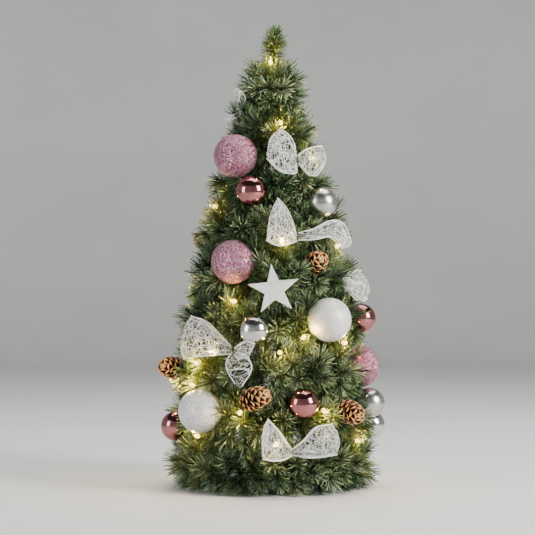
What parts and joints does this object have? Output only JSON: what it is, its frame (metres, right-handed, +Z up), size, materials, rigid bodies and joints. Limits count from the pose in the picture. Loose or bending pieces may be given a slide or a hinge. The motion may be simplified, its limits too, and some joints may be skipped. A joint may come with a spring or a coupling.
{
  "type": "decorated tabletop tree",
  "caption": "Small artificial tree of needle garland on a wire cone, decorated with balls, pine cones, bows and a star, with a battery light string inside.",
  "frame": {"origin": "centre of the base ring's underside, on the floor", "axes": "+Z up the mast, -Y the front with the star, +X to the right as seen from the front"},
  "size_m": [0.3165, 0.3142, 0.65],
  "materials": {
    "coated_steel_wire": "satin green coating",
    "needles": "matt, cut film needles",
    "rose_glitter": "glitter",
    "pearl": "satin pearl",
    "rose_shine": "mirror-like metallised",
    "silver_shine": "metallised, half matt",
    "pine_cone": "natural, lightly varnished",
    "web_ribbon": "open web of matt and shining fibres",
    "painted_wood": "thin white wash",
    "green_lead": "matt insulation",
    "black_plastic": "fine texture",
    "rubber": "matt",
    "cell_sleeve": "printed sleeve, left plain",
    "sprung_contact": "nickel plate",
    "switch_plastic": "matt",
    "circuit_board": "solder resist"
  },
  "bodies": {
    "tree": {"ball_large_1": "rose_glitter", "ball_large_2": "rose_glitter", "ball_large_3": "pearl", "ball_large_4": "pearl", "ball_large_5": "rose_glitter", "ball_large_6": "pearl", "ball_small_1": "rose_shine", "ball_small_2": "silver_shine", "ball_small_3": "silver_shine", "ball_small_4": "rose_shine", "ball_small_5": "rose_shine", "ball_small_6": "rose_shine", "ball_small_7": "silver_shine", "ball_small_8": "silver_shine", "ball_small_9": "rose_shine", "base_ring": "coated_steel_wire", "battery_case": "black_plastic", "battery_cell_1": "cell_sleeve", "battery_cell_2": "cell_sleeve", "battery_cell_3": "cell_sleeve", "bow_1": "web_ribbon", "bow_2": "web_ribbon", "bow_3": "web_ribbon", "bow_4": "web_ribbon", "bow_5": "web_ribbon", "bow_6": "web_ribbon", "box_bracket": "coated_steel_wire", "bracket_screw_1": "sprung_contact", "bracket_screw_2": "sprung_contact", "contact_plate_left": "sprung_contact", "contact_plate_right": "sprung_contact", "crown_ferrule": "coated_steel_wire", "crown_spray": "needles", "frame_rib_1": "coated_steel_wire", "frame_rib_2": "coated_steel_wire", "frame_rib_3": "coated_steel_wire", "frame_rib_4": "coated_steel_wire", "garland_tier_1": "needles", "garland_tier_2": "needles", "garland_tier_3": "needles", "garland_tier_4": "needles", "garland_tier_5": "needles", "garland_tier_6": "needles", "garland_tier_7": "needles", "garland_tier_8": "needles", "lead_gland": "rubber", "light_string": "green_lead", "lower_hoop": "coated_steel_wire", "pine_cone_1": "pine_cone", "pine_cone_2": "pine_cone", "pine_cone_3": "pine_cone", "pine_cone_4": "pine_cone", "pine_cone_5": "pine_cone", "star_tie": "coated_steel_wire", "timer_board": "circuit_board", "top_sprig": "needles"},
    "battery_cover": {"battery_cover": "black_plastic"},
    "switch_knob": {"switch_knob": "switch_plastic"},
    "star": {"star": "painted_wood"}
  },
  "joints": [
    {"name": "cover_slide", "type": "slide", "parent": "tree", "child": "battery_cover", "axis": [1, 0, 0], "range_m": [0, 0.046]},
    {"name": "switch_slide", "type": "slide", "parent": "tree", "child": "switch_knob", "axis": [1, 0, 0], "range_m": [-0.002, 0.002]},
    {"name": "star_swivel", "type": "hinge", "parent": "tree", "child": "star", "pos_m": [0.00122, -0.13808, 0.28911], "axis": [0.0169, -0.9701, -0.2419], "range_deg": [-15, 15]}
  ]
}
